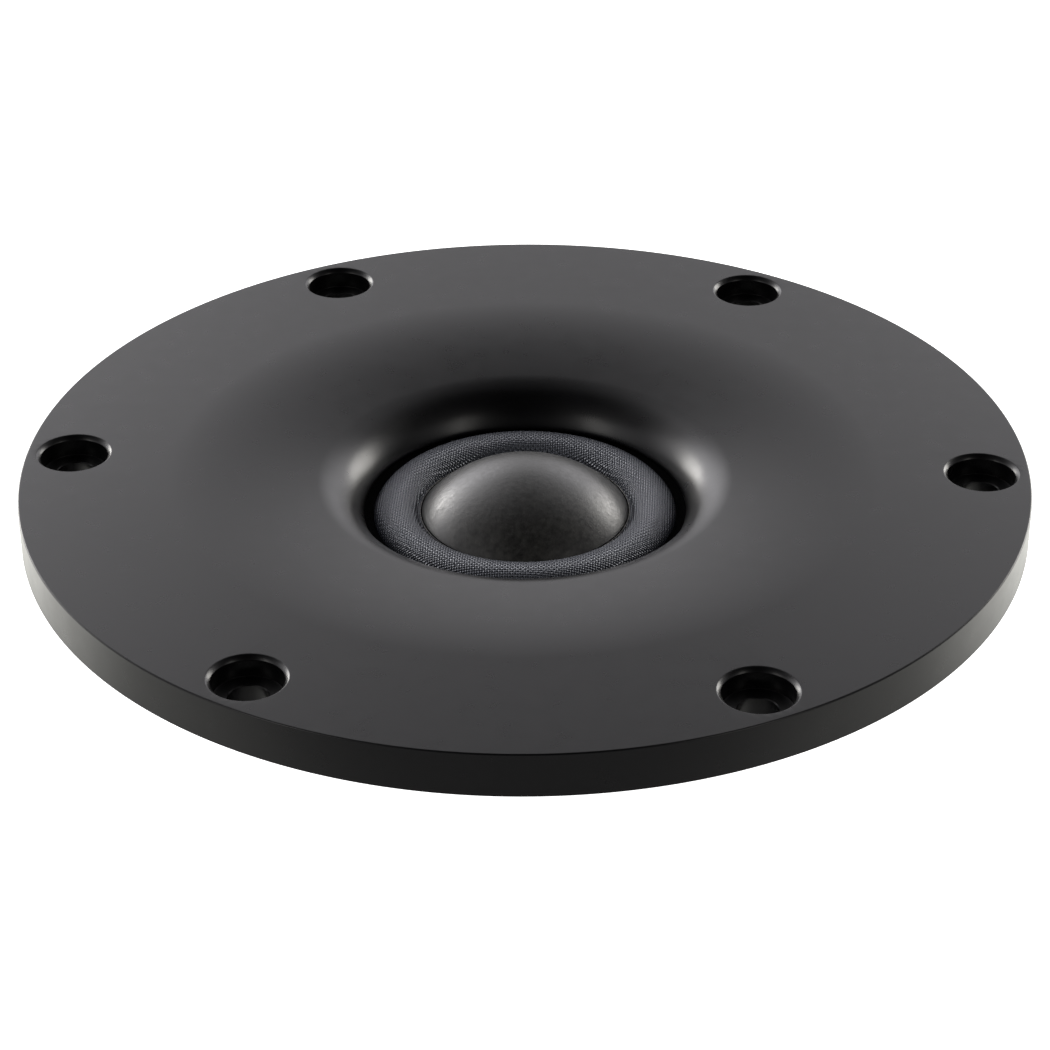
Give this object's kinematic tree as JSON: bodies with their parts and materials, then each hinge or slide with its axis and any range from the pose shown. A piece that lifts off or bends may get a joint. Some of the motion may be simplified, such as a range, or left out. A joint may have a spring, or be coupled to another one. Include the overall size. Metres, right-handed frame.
{
  "type": "dome tweeter",
  "caption": "Dome tweeter with a wide, dished, counterbored round faceplate, a half-roll cloth surround and a shallow ring-magnet motor with a rear cup.",
  "frame": {"origin": "centre of the rear cup's back face, which the tweeter stands on", "axes": "+Z along the dome's axis, out of the front; +Y towards the terminals; one screw hole lies on +X"},
  "size_m": [0.12, 0.12, 0.0324],
  "materials": {
    "black_anodised": "satin black anodised",
    "dome_metal": "satin dark metal foil",
    "coated_cloth": "coated woven cloth",
    "black_plastic": "moulded, matt",
    "former_foil": "rolled foil",
    "copper_wire": "enamelled wire",
    "copper_sheet": "drawn sheet",
    "black_steel": "black passivated, turned",
    "nickel": "nickel plated",
    "felt": "pressed felt",
    "wool": "loose wool felt",
    "foam_rubber": "closed-cell foam rubber",
    "brown_board": "laminated board",
    "tinned_brass": "tin plated",
    "zinc_steel": "black zinc plated",
    "red_sleeve": "smooth sleeve",
    "black_sleeve": "smooth sleeve"
  },
  "bodies": {
    "frame": {"faceplate": "black_anodised", "surround": "coated_cloth", "coil_lead_left": "copper_wire", "coil_lead_right": "copper_wire", "diaphragm_ring": "black_plastic", "top_plate": "black_steel", "magnet_ring": "nickel", "yoke": "black_steel", "pole_cap": "copper_sheet", "pole_felt": "felt", "rear_cup": "black_anodised", "cup_gasket": "foam_rubber", "chamber_felt": "wool", "terminal_board": "brown_board", "terminal_tab_positive": "tinned_brass", "terminal_tab_negative": "tinned_brass", "terminal_rivet_positive": "tinned_brass", "terminal_rivet_negative": "tinned_brass", "board_screw": "zinc_steel", "terminal_lead_left": "black_sleeve", "terminal_lead_right": "red_sleeve", "motor_screw_1": "zinc_steel", "cup_screw_1": "zinc_steel", "motor_screw_2": "zinc_steel", "cup_screw_2": "zinc_steel", "motor_screw_3": "zinc_steel", "cup_screw_3": "zinc_steel", "motor_screw_4": "zinc_steel", "cup_screw_4": "zinc_steel"},
    "diaphragm": {"dome_cap": "dome_metal", "coil_former": "former_foil", "voice_coil": "copper_wire"}
  },
  "joints": [
    {"name": "diaphragm_travel", "type": "slide", "parent": "frame", "child": "diaphragm", "axis": [0, 0, 1], "range_m": [-0.0005, 0.0005], "stiffness_N_per_m": 3000, "deforming": ["surround", "coil_lead_left", "coil_lead_right"]}
  ]
}
